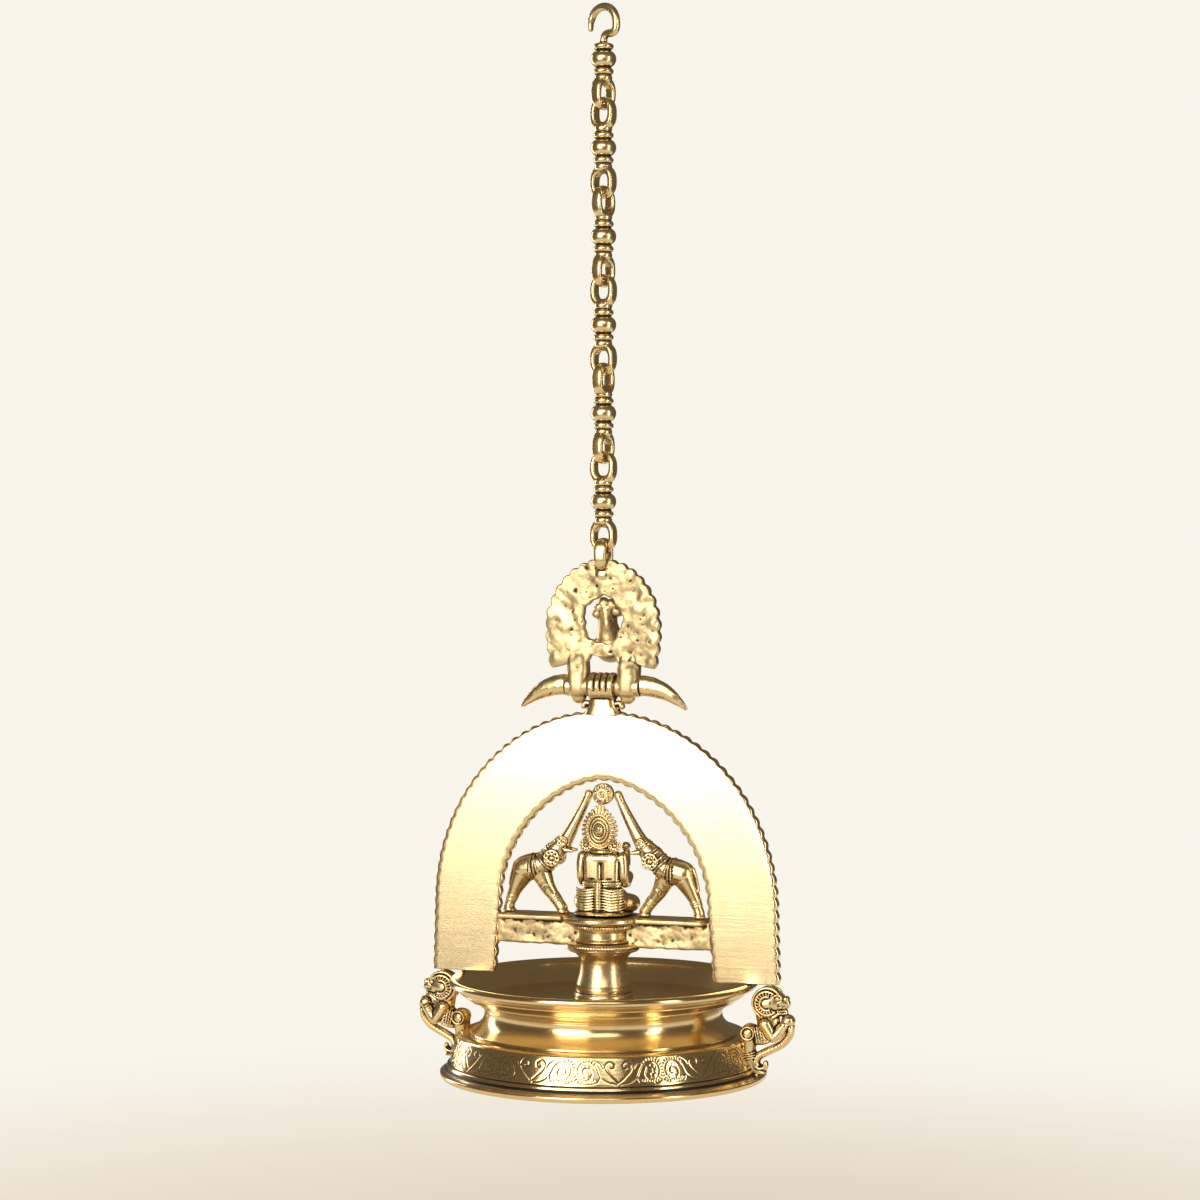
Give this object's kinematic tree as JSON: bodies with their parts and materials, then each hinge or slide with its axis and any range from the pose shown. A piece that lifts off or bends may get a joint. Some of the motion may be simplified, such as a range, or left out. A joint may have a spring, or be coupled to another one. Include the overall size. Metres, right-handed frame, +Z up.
{
  "type": "hanging chain oil lamp",
  "caption": "Cast brass oil lamp on a chain: hook, turned links, peacock finial, lobed arch with a seated figure and elephants, shallow oil bowl on a turned base.",
  "frame": {"origin": "inside the crown of the hook's bend, where it sits on whatever holds it", "axes": "+Z up along the chain, +X to the right of the lamp's back, +Y the way the seated figure faces"},
  "size_m": [0.2018, 0.166, 0.5428],
  "materials": {
    "antique_brass": "cast, polished on the high parts, dark in the recesses",
    "satin_brass": "flat, satin brushed",
    "turned_brass": "turned and polished",
    "plain_brass": "plain, dull"
  },
  "bodies": {
    "hook": {"hanging_hook": "antique_brass"},
    "link_1": {"chain_link_1": "antique_brass"},
    "link_2": {"chain_link_2": "antique_brass"},
    "link_3": {"chain_link_3": "antique_brass"},
    "link_4": {"chain_link_4": "antique_brass"},
    "link_5": {"chain_link_5": "antique_brass"},
    "peacock": {"peacock_hanger": "antique_brass", "peacock_tail_fan": "antique_brass", "peacock_body": "antique_brass", "peacock_wing_left": "antique_brass", "peacock_wing_right": "antique_brass", "peacock_bar": "antique_brass"},
    "lamp": {"arch_loop": "antique_brass", "arch_plate": "satin_brass", "shelf_left": "satin_brass", "shelf_right": "satin_brass", "figure_seat": "antique_brass", "seated_figure": "antique_brass", "head_disc": "antique_brass", "elephant_left": "antique_brass", "elephant_right": "antique_brass", "water_pot": "antique_brass", "lamp_pillar": "antique_brass", "pillar_collar": "antique_brass", "oil_bowl": "turned_brass", "bowl_drum": "turned_brass", "base_ring": "turned_brass", "guardian_left": "antique_brass", "guardian_right": "antique_brass", "guardian_dowels": "plain_brass", "centre_stud": "plain_brass", "centre_washer": "plain_brass", "centre_nut": "plain_brass"}
  },
  "joints": [
    {"name": "hook_to_link_1", "type": "hinge", "parent": "hook", "child": "link_1", "pos_m": [0, 0, -0.04847], "axis": [0.3746, 0.9272, 0], "range_deg": [-30, 30]},
    {"name": "link_1_to_link_2", "type": "hinge", "parent": "link_1", "child": "link_2", "pos_m": [0, 0, -0.09312], "axis": [0.9397, -0.342, 0], "range_deg": [-30, 30]},
    {"name": "link_2_to_link_3", "type": "hinge", "parent": "link_2", "child": "link_3", "pos_m": [0, 0, -0.13777], "axis": [0.309, 0.9511, 0], "range_deg": [-30, 30]},
    {"name": "link_3_to_link_4", "type": "hinge", "parent": "link_3", "child": "link_4", "pos_m": [0, 0, -0.18242], "axis": [0.9613, -0.2756, 0], "range_deg": [-30, 30]},
    {"name": "link_4_to_link_5", "type": "hinge", "parent": "link_4", "child": "link_5", "pos_m": [0, 0, -0.22707], "axis": [0.2419, 0.9703, 0], "range_deg": [-30, 30]},
    {"name": "link_5_to_peacock", "type": "hinge", "parent": "link_5", "child": "peacock", "pos_m": [0, 0, -0.27172], "axis": [0.9781, -0.2079, 0], "range_deg": [-30, 30]},
    {"name": "peacock_to_lamp", "type": "hinge", "parent": "peacock", "child": "lamp", "pos_m": [0, 0, -0.34137], "axis": [1, 0, 0], "range_deg": [-30, 30]}
  ]
}
